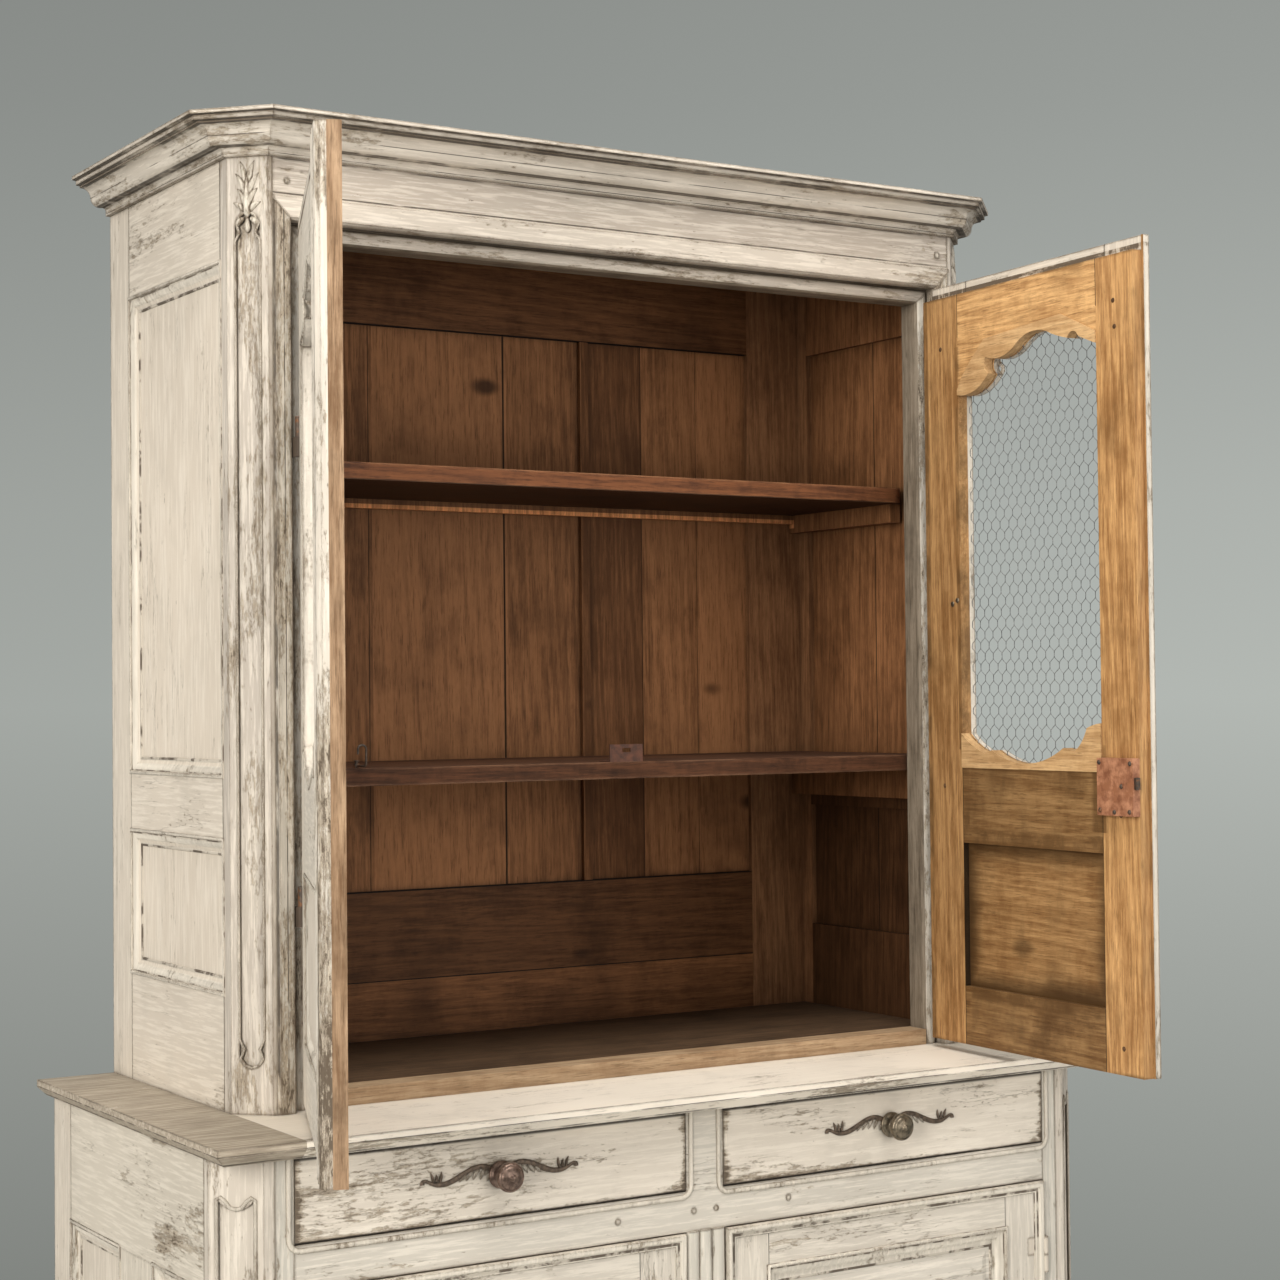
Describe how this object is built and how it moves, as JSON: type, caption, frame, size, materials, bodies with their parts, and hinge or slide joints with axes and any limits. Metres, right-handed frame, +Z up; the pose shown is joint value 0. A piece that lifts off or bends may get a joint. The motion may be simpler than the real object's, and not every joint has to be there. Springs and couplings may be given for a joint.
{
  "type": "two-stage sideboard cupboard",
  "caption": "Painted two-stage sideboard: lower case with drawers over panelled doors, narrower upper case with canted corners, cornice, shelves and scalloped wire-mesh doors standing open.",
  "frame": {"origin": "on the floor, at the centre of the lower case in plan", "axes": "+X to the right along the front, +Y to the back, +Z up"},
  "size_m": [1.4635, 1.0258, 2.27],
  "materials": {
    "painted_wood": "worn cream-greige milk paint, crackled and chipped",
    "interior_oak": "dry dark red-brown oak",
    "shelf_oak": "dark oak with worn edges",
    "raw_oak": "plain light oak",
    "honey_oak": "waxed honey oak",
    "pale_oak": "lighter oak scallop",
    "galvanised_wire": "dull grey wire",
    "old_iron": "dark rusty iron",
    "rusty_lock": "orange-brown rust",
    "aged_bronze": "dull brown bronze"
  },
  "bodies": {
    "case": {"apron_and_brackets": "painted_wood", "case_hinge_halves": "old_iron", "catch_plate": "old_iron", "cornice": "painted_wood", "drawer_rails": "painted_wood", "drawer_runners": "interior_oak", "frieze_board": "painted_wood", "hook_pin": "old_iron", "joint_pegs": "painted_wood", "lower_back_boards": "interior_oak", "lower_floor_board": "interior_oak", "lower_front_posts": "painted_wood", "lower_front_stiles": "painted_wood", "lower_rear_posts": "interior_oak", "lower_shelf": "interior_oak", "lower_side_panels": "painted_wood", "lower_side_rails": "painted_wood", "lower_top_board": "painted_wood", "middle_shelf": "shelf_oak", "roof_boards": "interior_oak", "shelf_cleats": "interior_oak", "sill_rail": "raw_oak", "upper_back_boards": "interior_oak", "upper_floor_board": "interior_oak", "upper_front_posts": "painted_wood", "upper_front_stiles": "painted_wood", "upper_head_moulding": "painted_wood", "upper_rear_posts": "interior_oak", "upper_shelf": "shelf_oak", "upper_side_panels": "painted_wood", "upper_side_rails": "painted_wood"},
    "door_hook": {"door_hook": "old_iron"},
    "key": {"key": "old_iron"},
    "left_upper_door": {"left_door_frame": "honey_oak", "left_door_hinge_halves": "old_iron", "left_door_meeting_strip": "painted_wood", "left_door_panel": "honey_oak", "left_door_scalloped_inserts": "pale_oak", "left_door_wire_mesh": "galvanised_wire"},
    "left_drawer": {"left_drawer_backplate": "aged_bronze", "left_drawer_box": "raw_oak", "left_drawer_front": "painted_wood", "left_drawer_knob": "aged_bronze"},
    "lock_bolt": {"lock_bolt": "old_iron"},
    "left_lower_door": {"lower_left_door_frame": "painted_wood", "lower_left_door_hinge_halves": "old_iron", "lower_left_door_panel": "painted_wood"},
    "right_lower_door": {"lower_right_door_frame": "painted_wood", "lower_right_door_hinge_halves": "old_iron", "lower_right_door_panel": "painted_wood"},
    "right_upper_door": {"right_door_frame": "honey_oak", "right_door_hinge_halves": "old_iron", "right_door_lock_case": "rusty_lock", "right_door_panel": "honey_oak", "right_door_scalloped_inserts": "pale_oak", "right_door_wire_mesh": "galvanised_wire"},
    "right_drawer": {"right_drawer_backplate": "aged_bronze", "right_drawer_box": "raw_oak", "right_drawer_front": "painted_wood", "right_drawer_knob": "aged_bronze"}
  },
  "joints": [
    {"name": "right_upper_door_swing", "type": "hinge", "parent": "case", "child": "right_upper_door", "pos_m": [0.53, -0.179, 1.5], "axis": [0, 0, 1], "range_deg": [-86.3, 75]},
    {"name": "left_upper_door_swing", "type": "hinge", "parent": "case", "child": "left_upper_door", "pos_m": [-0.53, -0.179, 1.5], "axis": [0, 0, -1], "range_deg": [-111.8, 50]},
    {"name": "right_lower_door_swing", "type": "hinge", "parent": "case", "child": "right_lower_door", "pos_m": [0.60125, -0.313, 0.5], "axis": [0, 0, 1], "range_deg": [0, 110]},
    {"name": "left_lower_door_swing", "type": "hinge", "parent": "case", "child": "left_lower_door", "pos_m": [-0.60125, -0.313, 0.5], "axis": [0, 0, -1], "range_deg": [0, 110]},
    {"name": "left_drawer_slide", "type": "slide", "parent": "case", "child": "left_drawer", "axis": [0, -1, 0], "range_m": [0, 0.38]},
    {"name": "right_drawer_slide", "type": "slide", "parent": "case", "child": "right_drawer", "axis": [0, -1, 0], "range_m": [0, 0.38]},
    {"name": "key_turn", "type": "hinge", "parent": "right_upper_door", "child": "key", "pos_m": [0.50251, -0.60411, 1.365], "axis": [-0.9979, 0.0645, 0], "range_deg": [0, 180]},
    {"name": "bolt_slide", "type": "slide", "parent": "right_upper_door", "child": "lock_bolt", "axis": [-0.0645, -0.9979, 0], "range_m": [0, 0.012]},
    {"name": "hook_turn", "type": "hinge", "parent": "case", "child": "door_hook", "pos_m": [-0.412, -0.095, 1.423], "axis": [0, 0, 1], "range_deg": [-70, 70]}
  ],
  "couplings": [
    {"joint": "key_turn", "follows": "bolt_slide", "rad_per_m": 261.8}
  ]
}
